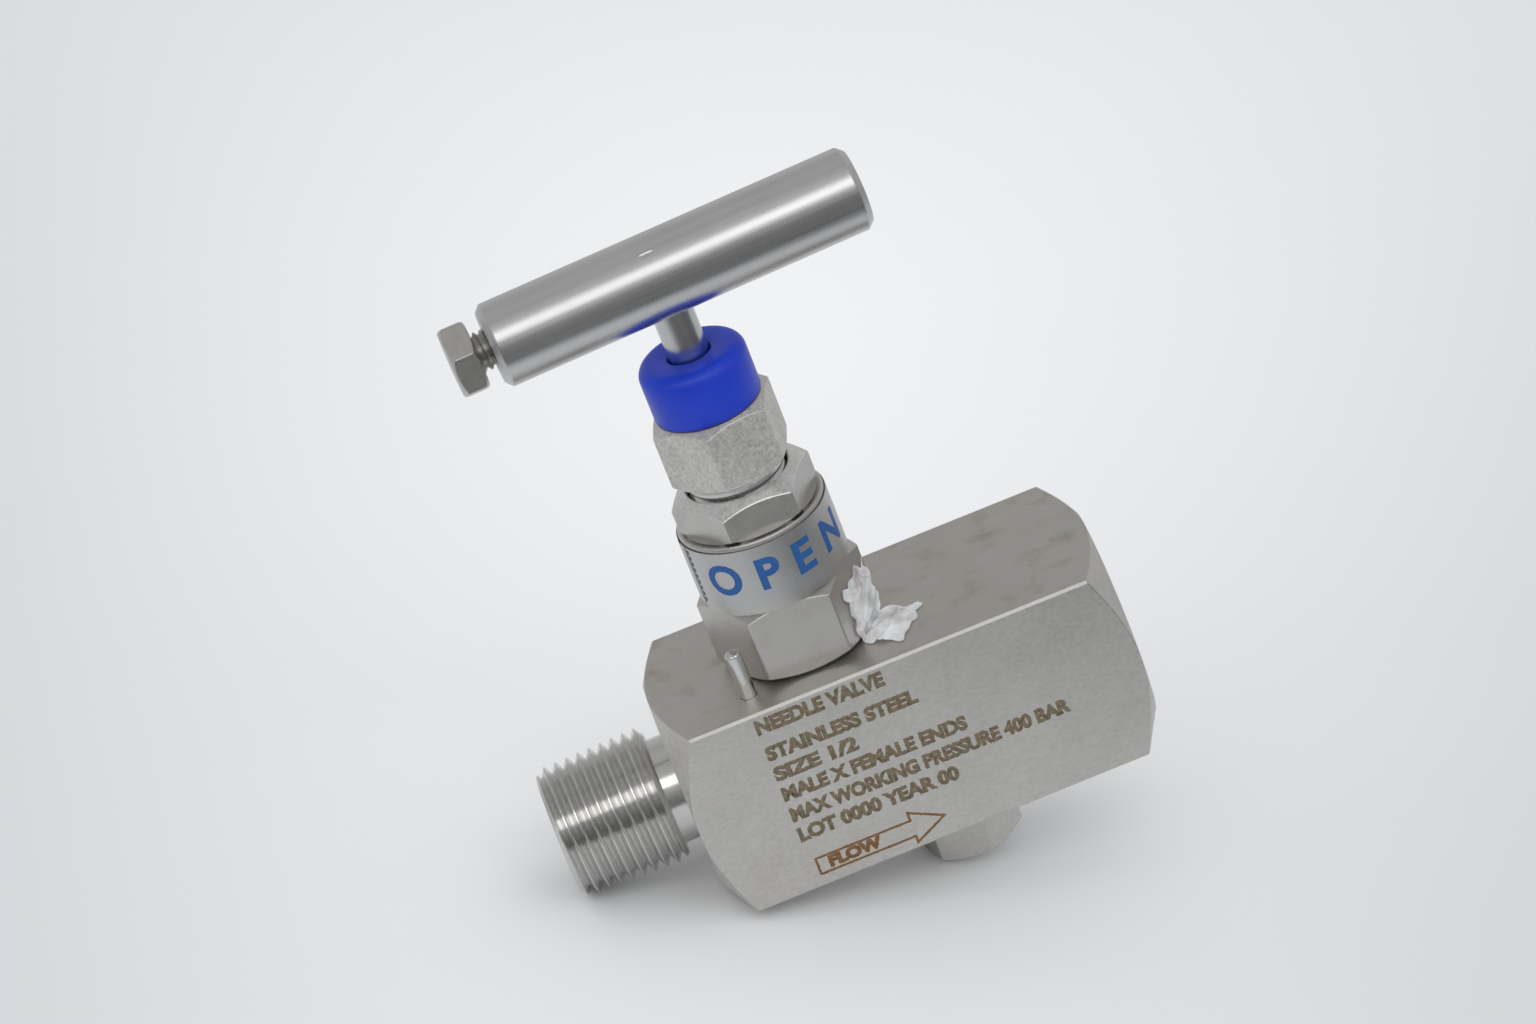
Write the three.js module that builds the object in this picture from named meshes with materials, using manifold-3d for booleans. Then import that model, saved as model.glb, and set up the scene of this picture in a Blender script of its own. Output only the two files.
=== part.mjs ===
// Instrument needle valve, 1/2 inch NPT male inlet by female outlet, square bar body.
//
// Frame, in millimetres: +Z up along the stem, +X along the flow towards the female port.
// The origin is on the stem's axis, at the level of the underside of the vent plug's head.
import * as THREE from "three";
import { mergeVertices } from "three/addons/utils/BufferGeometryUtils.js";
import Module from "manifold-3d";

const wasm = await Module();
wasm.setup();

const GAP = 0.3; // clearance between pieces that touch
const COARSE = 24; // facets round a small piece
const FINE = 40; // facets round a large piece
const TAPER = 1 / 32; // radius lost per length of an NPT thread
const CORNER_CHAMFER = Math.PI / 6; // slope of the chamfer that turns a bar's corners off
const PAST_HEX_CORNER = 0.6; // a radius just past a hexagon's corners, per width across flats
const PAST_BAR_CORNER = 0.72; // the same for square bar

// Body: a length of square bar with a turned nipple
const BAR = 32;
const BODY_BOTTOM = 11;
const BODY_TOP = BODY_BOTTOM + BAR;
const FLOW_Z = BODY_BOTTOM + BAR / 2;
const NIPPLE_LEFT = -44.6;
const BODY_LEFT = -24.7;
const BODY_RIGHT = 45.2;
const END_FACE_R = 15.9;
const NIPPLE_R = 10.65; // large end of the male thread
const NECK_R = 8.25;
const NECK_LENGTH = 2.7;
const TIP_CHAMFER = 1;
const MALE_BORE_R = 4.75;
const MALE_BORE_END = -16;

// Ports
const FEMALE_MOUTH_R = 10.9;
const FEMALE_THREAD_R = 10.2;
const FEMALE_THREAD_DEPTH = 15;
const FEMALE_DRILL_R = 9.1;
const FEMALE_DRILL_DEPTH = 20;
const DRILL_POINT = 0.6; // depth of a drill's point per radius
const PASSAGE_R = 2.5;
const PASSAGE_RISE = 2.4; // height of a passage's upper end over the bore that it meets
const VENT_X = 13.3;
const VENT_THREAD_R = 6.85;
const VENT_PORT_DEPTH = 10.5;
const VENT_DRILL_R = 2;

// Seat and chamber
const ORIFICE_R = 2.25;
const ORIFICE_BOTTOM = BODY_BOTTOM + 6.7;
const SEAT_Z = BODY_BOTTOM + 14;
const SEAT_R = 3.2;
const SEAT_ANGLE = Math.PI / 6; // half angle of the seat's and the needle's cone
const SEAT_TOP = SEAT_Z + (SEAT_R - ORIFICE_R) / Math.tan(SEAT_ANGLE);
const CHAMBER_R = 5.2;
const CHAMBER_TOP = BODY_BOTTOM + 21.2;
const BONNET_PORT_R = 10.3;

// Bonnet
const BONNET_HEX = 22;
const BONNET_TURN = THREE.MathUtils.degToRad(-2);
const BONNET_HEX_Z = BODY_TOP + GAP;
const BONNET_HEX_TOP = 55.4;
const BONNET_FACE_INSET = 0.2;
const BONNET_R = 11.3;
const BONNET_TOP = 66.9;
const BONNET_CHAMFER = 0.4;
const GASKET_HEIGHT = 1;
const STEM_THREAD_R = 4.5;
const STEM_PORT_TOP = 54.7;
const PACKING_FLOOR = 56.5;
const PACKING_BORE_R = 5.6;
const GLAND_THREAD_R = 7.5;
const GLAND_PORT_FLOOR = 62.2;
const LABEL_INNER_R = BONNET_R + 0.1;
const LABEL_R = 11.675;
const LABEL_HEIGHT = 9.8;
const LABEL_Z = 56.4;
const PIN_R = 1.25;
const PIN_X = -10.4;
const PIN_Y = -10;
const PIN_PROUD = 7.8;
const PIN_DEPTH = 5;

// Packing and gland
const WASHER_HEIGHT = 0.6;
const RING_HEIGHT = 1.5;
const RINGS = 3;
const FOLLOWER_HEIGHT = 2.7;
const LOCK_NUT_HEX = 19;
const LOCK_NUT_TOP = 72.7;
const LOCK_NUT_TURN = THREE.MathUtils.degToRad(5);
const LOCK_NUT_FACE_R = 8.1;
const LOCK_NUT_FOOT_INSET = 0.3;
const GLAND_SHANK_Z = 64.2;
const GLAND_HEX = 17;
const GLAND_HEX_Z = 74.5;
const GLAND_HEX_TOP = 85;
const GLAND_FACE_INSET = 0.5;
const GLAND_TURN = THREE.MathUtils.degToRad(15.7);
const GLAND_HUB_R = 6.9;
const GLAND_HUB_TOP = 91.7;
const CAP_R = 8.15;
const CAP_TOP = 93.8;
const CAP_WALL = 0.95;
const CAP_ROOF = 1.6;
const CAP_HOLE_R = 3.6;
const CAP_EDGE = 2;

// Stem, needle and handle
const STEM_R = 3.05;
const STEM_FOOT = 29.2;
const STEM_FOOT_R = 3.6;
const STEM_THREAD_Z = 36.7;
const STEM_THREAD_TOP = 49.7;
const SOCKET_R = 2.1;
const SOCKET_TOP = 33.2;
const NEEDLE_TIP_Z = 23.6;
const HANDLE_Z = 107;
const HANDLE_R = 6.35;
const HANDLE_LEFT = -26;
const HANDLE_RIGHT = 31.3;
const HANDLE_CHAMFER = 1;
const HANDLE_TURN = THREE.MathUtils.degToRad(4.4);
const STEM_SEAT_Z = HANDLE_Z + 3;
const BOLT_R = 3;
const BOLT_HEX = 10;
const BOLT_HEAD = 4;
const BOLT_PROUD = 2.1;
const BOLT_TURN = THREE.MathUtils.degToRad(1.4);
const BOLT_FACE_INSET = 0.2;

// Vent plug and seal
const PLUG_HEX = 14.2;
const PLUG_FACE_INSET = 0.3;
const PLUG_HEAD_TOP = BODY_BOTTOM - GAP;
const PLUG_TURN = THREE.MathUtils.degToRad(-16.2);
const PLUG_SHANK = 9.4;
const PLUG_SHANK_R = VENT_THREAD_R - GAP - 0.05;
const SEAL_THICKNESS = 0.4;
const SEAL_WIDTH = 9;
const SEAL_HEIGHT = 9.5;
const SEAL_FLAP = 6.5;

const BRUSHED = { color: 0xb4b2ac, metalness: 1, roughness: 0.42 };
const TURNED = { color: 0xc4c3bf, metalness: 1, roughness: 0.28 };
const STEEL = { color: 0xbcbab4, metalness: 1, roughness: 0.36 };
const PTFE = { color: 0xeeece6, metalness: 0, roughness: 0.6 };
const BLUE_CAP = { color: 0x1a3ab8, metalness: 0, roughness: 0.4 };
const FOIL = { color: 0xb4b6ba, metalness: 0.8, roughness: 0.35 };
const FILM = { color: 0xd8dce2, metalness: 0.1, roughness: 0.15 };

const valve = new THREE.Group();

// Closed geometry as a solid that can be joined and cut.
function solid(geometry) {
  const bare = geometry.clone();
  bare.deleteAttribute("normal");
  bare.deleteAttribute("uv");
  const merged = mergeVertices(bare, 1e-4);
  return new wasm.Manifold(
    new wasm.Mesh({
      numProp: 3,
      vertProperties: merged.attributes.position.array,
      triVerts: new Uint32Array(merged.index.array),
    }),
  );
}

// A solid back as geometry that three.js can draw.
function geometryOf(body) {
  const mesh = body.getMesh();
  const geometry = new THREE.BufferGeometry();
  geometry.setAttribute("position", new THREE.BufferAttribute(mesh.vertProperties, 3));
  geometry.setIndex(new THREE.BufferAttribute(mesh.triVerts, 1));
  geometry.computeVertexNormals();
  return geometry;
}

// Turned shape about +Z: [radius, height] pairs that run anticlockwise round one half section.
function turned(profile, facets = FINE) {
  const points = profile.map(([radius, height]) => new THREE.Vector2(radius, height));
  return solid(new THREE.LatheGeometry(points, facets).rotateX(Math.PI / 2));
}

// Turned shape about the flow axis, its heights running along +X.
function turnedAlongFlow(profile, facets = FINE) {
  const points = profile.map(([radius, along]) => new THREE.Vector2(radius, along));
  const lathe = new THREE.LatheGeometry(points, facets).rotateZ(-Math.PI / 2);
  return solid(lathe.translate(0, 0, FLOW_Z));
}

// Plain round bar about +Z.
function rod(radius, low, high, facets = COARSE) {
  return turned([[0, low], [radius, low], [radius, high], [0, high]], facets);
}

// Plain ring about +Z.
function ring(inner, outer, low, high, facets = COARSE) {
  return turned([[inner, low], [outer, low], [outer, high], [inner, high], [inner, low]], facets);
}

// Hexagon bar about +Z with flats facing ±Y before it is turned by `turn`.
function hexBar(acrossFlats, low, high, turn) {
  const outline = new THREE.Shape();
  const corner = acrossFlats / Math.sqrt(3);
  for (let i = 0; i < 6; i += 1) {
    const angle = turn + (i * Math.PI) / 3;
    outline[i ? "lineTo" : "moveTo"](corner * Math.cos(angle), corner * Math.sin(angle));
  }
  const bar = new THREE.ExtrudeGeometry(outline, { depth: high - low, bevelEnabled: false });
  return solid(bar.translate(0, 0, low));
}

// Hexagon whose corners are turned off by 30 degrees outside the given face radii.
function nutBlank(acrossFlats, low, high, turn, lowFaceR, highFaceR) {
  const reach = acrossFlats * PAST_HEX_CORNER;
  const fall = Math.tan(CORNER_CHAMFER);
  const profile = [[0, low], [lowFaceR, low], [reach, low + (reach - lowFaceR) * fall]];
  profile.push([reach, high - (reach - highFaceR) * fall], [highFaceR, high], [0, high]);
  return hexBar(acrossFlats, low, high, turn).intersect(turned(profile));
}

// Straight drilled passage between two points of the middle plane, given as [x, z].
function passage([x0, z0], [x1, z1], radius) {
  const length = Math.hypot(x1 - x0, z1 - z0);
  const drill = new THREE.CylinderGeometry(radius, radius, length, COARSE);
  drill.rotateZ(-Math.atan2(x1 - x0, z1 - z0)).rotateX(Math.PI / 2);
  return solid(drill.translate((x0 + x1) / 2, 0, (z0 + z1) / 2));
}

function add(name, body, look, parent = valve) {
  const mesh = new THREE.Mesh(geometryOf(body), new THREE.MeshStandardMaterial(look));
  mesh.name = name;
  parent.add(mesh);
}

// Square bar with both ends turned to a 30 degree chamfer.
function bodyBlank() {
  const reach = BAR * PAST_BAR_CORNER;
  const depth = (reach - END_FACE_R) * Math.tan(CORNER_CHAMFER);
  const bar = new THREE.BoxGeometry(BODY_RIGHT - BODY_LEFT, BAR, BAR);
  bar.translate((BODY_LEFT + BODY_RIGHT) / 2, 0, FLOW_Z);
  const chamfers = turnedAlongFlow(
    [
      [0, BODY_LEFT],
      [END_FACE_R, BODY_LEFT],
      [reach, BODY_LEFT + depth],
      [reach, BODY_RIGHT - depth],
      [END_FACE_R, BODY_RIGHT],
      [0, BODY_RIGHT],
    ],
    64,
  );
  return solid(bar).intersect(chamfers);
}

// Male nipple: a relief neck, then a tapered thread blank with a chamfered tip.
function nipple() {
  const tip = NIPPLE_LEFT;
  const threadEnd = BODY_LEFT - NECK_LENGTH;
  const tipR = NIPPLE_R - (threadEnd - tip - TIP_CHAMFER) * TAPER;
  return turnedAlongFlow([
    [0, tip],
    [tipR - TIP_CHAMFER, tip],
    [tipR, tip + TIP_CHAMFER],
    [NIPPLE_R, threadEnd - TIP_CHAMFER],
    [NECK_R, threadEnd],
    [NECK_R, BODY_LEFT + 1],
    [0, BODY_LEFT + 1],
  ]);
}

// Female port: countersunk mouth, tapered thread, drilled bottom.
function femalePort() {
  const threadEnd = BODY_RIGHT - FEMALE_THREAD_DEPTH;
  const drillEnd = BODY_RIGHT - FEMALE_DRILL_DEPTH;
  return turnedAlongFlow([
    [0, drillEnd - FEMALE_DRILL_R * DRILL_POINT],
    [FEMALE_DRILL_R, drillEnd],
    [FEMALE_DRILL_R, threadEnd],
    [FEMALE_THREAD_R - FEMALE_THREAD_DEPTH * TAPER, threadEnd],
    [FEMALE_THREAD_R, BODY_RIGHT - 1],
    [FEMALE_MOUTH_R, BODY_RIGHT],
    [FEMALE_MOUTH_R, BODY_RIGHT + 1],
    [0, BODY_RIGHT + 1],
  ]);
}

function maleBore() {
  const point = MALE_BORE_END + MALE_BORE_R * DRILL_POINT;
  return turnedAlongFlow(
    [[0, NIPPLE_LEFT - 1], [MALE_BORE_R, NIPPLE_LEFT - 1], [MALE_BORE_R, MALE_BORE_END], [0, point]],
    COARSE,
  );
}

// Orifice, conical seat, chamber and the bonnet's port, bored from the top in one setting.
function stemPort() {
  return turned([
    [0, ORIFICE_BOTTOM],
    [ORIFICE_R, ORIFICE_BOTTOM],
    [ORIFICE_R, SEAT_Z],
    [SEAT_R, SEAT_TOP],
    [CHAMBER_R, SEAT_TOP],
    [CHAMBER_R, CHAMBER_TOP],
    [BONNET_PORT_R, CHAMBER_TOP],
    [BONNET_PORT_R, BODY_TOP + 1],
    [0, BODY_TOP + 1],
  ]);
}

function ventPort() {
  const top = BODY_BOTTOM + VENT_PORT_DEPTH;
  const thread = turned(
    [
      [0, BODY_BOTTOM - 1],
      [VENT_THREAD_R, BODY_BOTTOM - 1],
      [VENT_THREAD_R - VENT_PORT_DEPTH * TAPER, top],
      [0, top],
    ],
    COARSE,
  );
  return thread.add(rod(VENT_DRILL_R, top - 1, FLOW_Z + 1, 16)).translate(VENT_X, 0, 0);
}

function body() {
  const inlet = passage([MALE_BORE_END - 1, FLOW_Z], [1, ORIFICE_BOTTOM + PASSAGE_RISE], PASSAGE_R);
  const drillPoint = BODY_RIGHT - FEMALE_DRILL_DEPTH;
  const outlet = passage([drillPoint, FLOW_Z], [3, FLOW_Z + PASSAGE_RISE], PASSAGE_R);
  const pinHole = rod(PIN_R + GAP, BODY_TOP - PIN_DEPTH - GAP, BODY_TOP + 1, 16);
  return bodyBlank()
    .add(nipple())
    .subtract(femalePort())
    .subtract(maleBore())
    .subtract(stemPort())
    .subtract(ventPort())
    .subtract(inlet)
    .subtract(outlet)
    .subtract(pinHole.translate(PIN_X, PIN_Y, 0));
}

// Bonnet: spigot screwed into the body, hexagon, round label land, stem thread, packing box.
function bonnet() {
  const spigotR = BONNET_PORT_R - GAP;
  const foot = CHAMBER_TOP + GASKET_HEIGHT + 2 * GAP;
  const faceR = BONNET_HEX / 2 - BONNET_FACE_INSET;
  const hex = nutBlank(BONNET_HEX, BONNET_HEX_Z, BONNET_HEX_TOP, BONNET_TURN, faceR, faceR);
  const bore = turned([
    [0, foot - 1],
    [STEM_THREAD_R + GAP, foot - 1],
    [STEM_THREAD_R + GAP, STEM_PORT_TOP],
    [STEM_R + GAP, STEM_PORT_TOP],
    [STEM_R + GAP, PACKING_FLOOR],
    [PACKING_BORE_R, PACKING_FLOOR],
    [PACKING_BORE_R, GLAND_PORT_FLOOR],
    [GLAND_THREAD_R + GAP, GLAND_PORT_FLOOR],
    [GLAND_THREAD_R + GAP, BONNET_TOP + 1],
    [0, BONNET_TOP + 1],
  ]);
  const land = turned([
    [0, BONNET_HEX_TOP - 1],
    [BONNET_R, BONNET_HEX_TOP - 1],
    [BONNET_R, BONNET_TOP - BONNET_CHAMFER],
    [BONNET_R - BONNET_CHAMFER, BONNET_TOP],
    [0, BONNET_TOP],
  ]);
  return rod(spigotR, foot, BONNET_HEX_Z + 1, FINE).add(hex).add(land).subtract(bore);
}

// Gland nut: threaded shank that squeezes the packing, hexagon, and a hub that carries the cap.
function glandNut() {
  const faceR = GLAND_HEX / 2 - GLAND_FACE_INSET;
  const counterbore = GLAND_SHANK_Z + FOLLOWER_HEIGHT;
  return nutBlank(GLAND_HEX, GLAND_HEX_Z, GLAND_HEX_TOP, GLAND_TURN, faceR, faceR)
    .add(rod(GLAND_THREAD_R, GLAND_SHANK_Z, GLAND_HEX_Z + 1, FINE))
    .add(rod(GLAND_HUB_R, GLAND_HEX_TOP - 1, GLAND_HUB_TOP))
    .subtract(rod(STEM_R + GAP, GLAND_SHANK_Z - 1, GLAND_HUB_TOP + 1))
    .subtract(rod(PACKING_BORE_R, GLAND_SHANK_Z - 1, counterbore));
}

function lockNut() {
  const foot = BONNET_TOP + GAP;
  const footR = LOCK_NUT_HEX / 2 - LOCK_NUT_FOOT_INSET;
  return nutBlank(LOCK_NUT_HEX, foot, LOCK_NUT_TOP, LOCK_NUT_TURN, footR, LOCK_NUT_FACE_R)
    .subtract(rod(GLAND_THREAD_R + GAP, foot - 1, LOCK_NUT_TOP + 1, FINE));
}

// Moulded cap that snaps over the gland nut's hub.
function dustCap() {
  const foot = GLAND_HEX_TOP + GAP;
  const ceiling = CAP_TOP - CAP_ROOF;
  const profile = [[CAP_R - CAP_WALL, foot], [CAP_R, foot]];
  for (let i = 0; i <= 4; i += 1) {
    const angle = (i * Math.PI) / 8;
    const radius = CAP_R - CAP_EDGE * (1 - Math.cos(angle));
    profile.push([radius, CAP_TOP - CAP_EDGE * (1 - Math.sin(angle))]);
  }
  profile.push([CAP_HOLE_R, CAP_TOP], [CAP_HOLE_R, ceiling], [CAP_R - CAP_WALL, ceiling]);
  profile.push([CAP_R - CAP_WALL, foot]);
  return turned(profile, FINE);
}

// Packing box from the bottom up: washer, rings, washer and gland follower.
function addPacking() {
  const inner = STEM_R + GAP;
  const outer = PACKING_BORE_R - GAP;
  let low = PACKING_FLOOR + GAP;
  const stack = (name, height, look) => {
    add(name, ring(inner, outer, low, low + height), look);
    low += height + GAP;
  };
  stack("packing_washer_lower", WASHER_HEIGHT, STEEL);
  for (let i = 1; i <= RINGS; i += 1) {
    stack("packing_ring_" + i, RING_HEIGHT, PTFE);
  }
  stack("packing_washer_upper", WASHER_HEIGHT, STEEL);
  stack("gland_follower", FOLLOWER_HEIGHT, STEEL);
}

// Stem: socket for the needle, operating thread that stops under the back seat, polished shank.
function stem() {
  return turned(
    [
      [0, SOCKET_TOP],
      [SOCKET_R, SOCKET_TOP],
      [SOCKET_R, STEM_FOOT],
      [STEM_FOOT_R, STEM_FOOT],
      [STEM_FOOT_R, STEM_THREAD_Z],
      [STEM_THREAD_R, STEM_THREAD_Z],
      [STEM_THREAD_R, STEM_THREAD_TOP],
      [STEM_R, STEM_THREAD_TOP],
      [STEM_R, STEM_SEAT_Z - GAP],
      [0, STEM_SEAT_Z - GAP],
    ],
    COARSE,
  );
}

// Needle that doesn't turn with the stem, shut on the seat at rest.
function needleTip() {
  const slope = Math.tan(SEAT_ANGLE);
  const lift = GAP / Math.sin(SEAT_ANGLE);
  const coneTop = SEAT_TOP + lift;
  const tipR = SEAT_R - (coneTop - NEEDLE_TIP_Z) * slope;
  return turned(
    [
      [0, NEEDLE_TIP_Z],
      [tipR, NEEDLE_TIP_Z],
      [SEAT_R, coneTop],
      [SEAT_R, STEM_FOOT - GAP],
      [SOCKET_R - GAP, STEM_FOOT - GAP],
      [SOCKET_R - GAP, SOCKET_TOP - GAP],
      [0, SOCKET_TOP - GAP],
    ],
    COARSE,
  );
}

// Turned shape about the handle's own axis, the local X axis.
function turnedAlongHandle(profile) {
  return turned(profile, COARSE).rotate([0, 90, 0]);
}

// Handle bar: cross-drilled for the stem, tapped along its axis for the clamping bolt.
function handleBar() {
  const bar = turnedAlongHandle([
    [0, HANDLE_LEFT],
    [HANDLE_R - HANDLE_CHAMFER, HANDLE_LEFT],
    [HANDLE_R, HANDLE_LEFT + HANDLE_CHAMFER],
    [HANDLE_R, HANDLE_RIGHT - HANDLE_CHAMFER],
    [HANDLE_R - HANDLE_CHAMFER, HANDLE_RIGHT],
    [0, HANDLE_RIGHT],
  ]);
  const boltHole = turnedAlongHandle([
    [0, HANDLE_LEFT - 1],
    [BOLT_R + GAP, HANDLE_LEFT - 1],
    [BOLT_R + GAP, 0],
    [0, 0],
  ]);
  const stemHole = rod(STEM_R + GAP, -HANDLE_R - 1, STEM_SEAT_Z - HANDLE_Z);
  return bar.subtract(boltHole).subtract(stemHole);
}

function handleBolt() {
  const headInner = HANDLE_LEFT - BOLT_PROUD;
  const headOuter = headInner - BOLT_HEAD;
  const faceR = BOLT_HEX / 2 - BOLT_FACE_INSET;
  const head = nutBlank(BOLT_HEX, headOuter, headInner, BOLT_TURN, faceR, faceR);
  const shank = rod(BOLT_R, headInner - 1, -STEM_R - GAP);
  return head.add(shank).rotate([0, 90, 0]);
}

function addHandle() {
  const handle = new THREE.Group();
  handle.position.z = HANDLE_Z;
  handle.rotation.z = HANDLE_TURN;
  add("handle_bar", handleBar(), TURNED, handle);
  add("handle_bolt", handleBolt(), STEEL, handle);
  valve.add(handle);
}

function ventPlug() {
  const faceR = PLUG_HEX / 2 - PLUG_FACE_INSET;
  const shank = turned(
    [
      [0, PLUG_HEAD_TOP - 1],
      [PLUG_SHANK_R, PLUG_HEAD_TOP - 1],
      [PLUG_SHANK_R - PLUG_SHANK * TAPER, BODY_BOTTOM + PLUG_SHANK],
      [0, BODY_BOTTOM + PLUG_SHANK],
    ],
    COARSE,
  );
  const head = nutBlank(PLUG_HEX, 0, PLUG_HEAD_TOP, PLUG_TURN, faceR, faceR);
  return head.add(shank).translate(VENT_X, 0, 0);
}

// Tamper seal film: stuck on one flat of the bonnet's hexagon and folded out over the body.
function tamperSeal() {
  const near = BONNET_HEX / 2 + GAP;
  const low = BODY_TOP + GAP;
  const outline = new THREE.Shape();
  outline.moveTo(near, low);
  outline.lineTo(near + SEAL_FLAP, low);
  outline.lineTo(near + SEAL_FLAP, low + SEAL_THICKNESS);
  outline.lineTo(near + SEAL_THICKNESS, low + SEAL_THICKNESS);
  outline.lineTo(near + SEAL_THICKNESS, low + SEAL_HEIGHT);
  outline.lineTo(near, low + SEAL_HEIGHT);
  outline.closePath();
  const strip = new THREE.ExtrudeGeometry(outline, { depth: SEAL_WIDTH, bevelEnabled: false });
  strip.translate(0, 0, -SEAL_WIDTH / 2).rotateX(Math.PI / 2);
  return solid(strip.rotateZ(BONNET_TURN - Math.PI / 6));
}

const gasketLow = CHAMBER_TOP + GAP;
const gasket = ring(CHAMBER_R + GAP, BONNET_PORT_R - GAP, gasketLow, gasketLow + GASKET_HEIGHT);
const pin = rod(PIN_R, BODY_TOP - PIN_DEPTH, BODY_TOP + PIN_PROUD, 16);
const label = ring(LABEL_INNER_R, LABEL_R, LABEL_Z, LABEL_Z + LABEL_HEIGHT, FINE);

add("body", body(), BRUSHED);
add("bonnet", bonnet(), STEEL);
add("bonnet_gasket", gasket, STEEL);
add("bonnet_lock_pin", pin.translate(PIN_X, PIN_Y, 0), STEEL);
addPacking();
add("gland_nut", glandNut(), STEEL);
add("lock_nut", lockNut(), STEEL);
add("dust_cap", dustCap(), BLUE_CAP);
add("stem", stem(), TURNED);
add("needle_tip", needleTip(), STEEL);
addHandle();
add("vent_plug", ventPlug(), BRUSHED);
add("label_band", label, FOIL);
add("tamper_seal", tamperSeal(), FILM);

export default valve;
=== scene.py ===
import math

import bmesh
import bpy
import numpy as np
from mathutils import Matrix, Vector, noise


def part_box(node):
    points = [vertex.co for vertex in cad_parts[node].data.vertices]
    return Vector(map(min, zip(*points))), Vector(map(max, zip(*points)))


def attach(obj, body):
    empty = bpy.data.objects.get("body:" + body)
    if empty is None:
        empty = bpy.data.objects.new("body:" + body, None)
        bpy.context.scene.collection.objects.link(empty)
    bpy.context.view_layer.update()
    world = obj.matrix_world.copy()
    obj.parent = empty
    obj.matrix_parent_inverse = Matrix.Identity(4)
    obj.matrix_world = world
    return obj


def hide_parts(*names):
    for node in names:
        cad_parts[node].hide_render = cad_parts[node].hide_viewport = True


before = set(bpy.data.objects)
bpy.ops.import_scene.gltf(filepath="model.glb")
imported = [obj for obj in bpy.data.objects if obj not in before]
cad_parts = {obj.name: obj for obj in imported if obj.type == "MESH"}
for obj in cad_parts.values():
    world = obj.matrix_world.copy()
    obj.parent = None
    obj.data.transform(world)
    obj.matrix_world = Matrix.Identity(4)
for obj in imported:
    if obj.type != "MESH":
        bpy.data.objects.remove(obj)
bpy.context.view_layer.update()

MM = 0.001

# ---------------- camera and studio
# A view from above the front through a long lens, rolled so that the valve leans, over a white
# table top, with one soft box over the front and a grey room round it.
AZIMUTH = math.radians(-0.81)
ELEVATION = math.radians(28.58)
ROLL = math.radians(-21.53)
DISTANCE = 731.57 * MM
AIM = Vector((2.2, 0, 64.63)) * MM
SENSOR = 36
LENS = 117.37

BACK = Vector((
    math.sin(AZIMUTH) * math.cos(ELEVATION),
    -math.cos(AZIMUTH) * math.cos(ELEVATION),
    math.sin(ELEVATION),
))
LEVEL = (-BACK).cross(Vector((0, 0, 1))).normalized()
UPRIGHT = LEVEL.cross(-BACK)
RIGHT = LEVEL * math.cos(ROLL) + UPRIGHT * math.sin(ROLL)
UP = UPRIGHT * math.cos(ROLL) - LEVEL * math.sin(ROLL)


def add_camera():
    camera = bpy.data.objects.new("camera", bpy.data.cameras.new("camera"))
    camera.data.sensor_width = SENSOR
    camera.data.lens = LENS
    camera.data.clip_start = 0.01
    camera.data.clip_end = 20
    turn = Matrix((RIGHT, UP, BACK)).transposed().to_4x4()
    camera.matrix_world = Matrix.Translation(AIM + BACK * DISTANCE) @ turn
    bpy.context.scene.collection.objects.link(camera)
    bpy.context.scene.camera = camera
    bpy.context.scene.view_settings.view_transform = "Standard"


class Signal:
    """A node socket. Sums on signals add Math nodes, and node() adds a node of any other kind."""

    def __init__(self, tree, socket=None):
        self.tree = tree
        self.socket = socket

    def node(self, kind, settings, inputs, output=0):
        made = self.tree.nodes.new(kind)
        for name, value in settings.items():
            if name == "stops":
                ramp = made.color_ramp
                while len(ramp.elements) < len(value):
                    ramp.elements.new(1)
                for element, (place, tone) in zip(ramp.elements, value):
                    element.position = place
                    element.color = tone
            else:
                setattr(made, name, value)
        for name, value in inputs.items():
            if isinstance(value, Signal):
                self.tree.links.new(value.socket, made.inputs[name])
            else:
                made.inputs[name].default_value = value
        return Signal(self.tree, made.outputs[output] if made.outputs else None)

    def math(self, operation, *others):
        return self.node("ShaderNodeMath", {"operation": operation}, dict(enumerate((self, *others))))

    def __add__(self, other):
        return self.math("ADD", other)

    def __sub__(self, other):
        return self.math("SUBTRACT", other)

    def __rsub__(self, other):
        return self.math("MULTIPLY_ADD", -1, other)

    def __mul__(self, other):
        return self.math("MULTIPLY", other)

    def __truediv__(self, other):
        return self.math("DIVIDE", other)

    def __gt__(self, other):
        return self.math("GREATER_THAN", other)

    def texture(self, scale, detail):
        """Cloudy noise at this place, from 0 to 1."""
        return self.node("ShaderNodeTexNoise", {}, {"Vector": self, "Scale": scale, "Detail": detail})

    def place(self):
        """The point of the surface being shaded, in the object's own metres."""
        return self.node("ShaderNodeTexCoord", {}, {}, "Object")

    def bump(self, distance):
        """The surface's direction, tilted as if this signal were its height."""
        return self.node("ShaderNodeBump", {}, {"Height": self, "Distance": distance})

    def part(self, axis):
        """One of the vector's three numbers."""
        return self.node("ShaderNodeSeparateXYZ", {}, {0: self}, axis)

    def clipped(self):
        """The signal kept from 0 to 1."""
        return self.node("ShaderNodeClamp", {}, {"Value": self})

    def between(self, low, high):
        """A colour from low where the signal is 0 to high where it is 1."""
        return self.node("ShaderNodeMix", {"data_type": "RGBA"}, {0: self, 6: low, 7: high}, 2)


def grey(value):
    return (value, value, value, 1)


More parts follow.
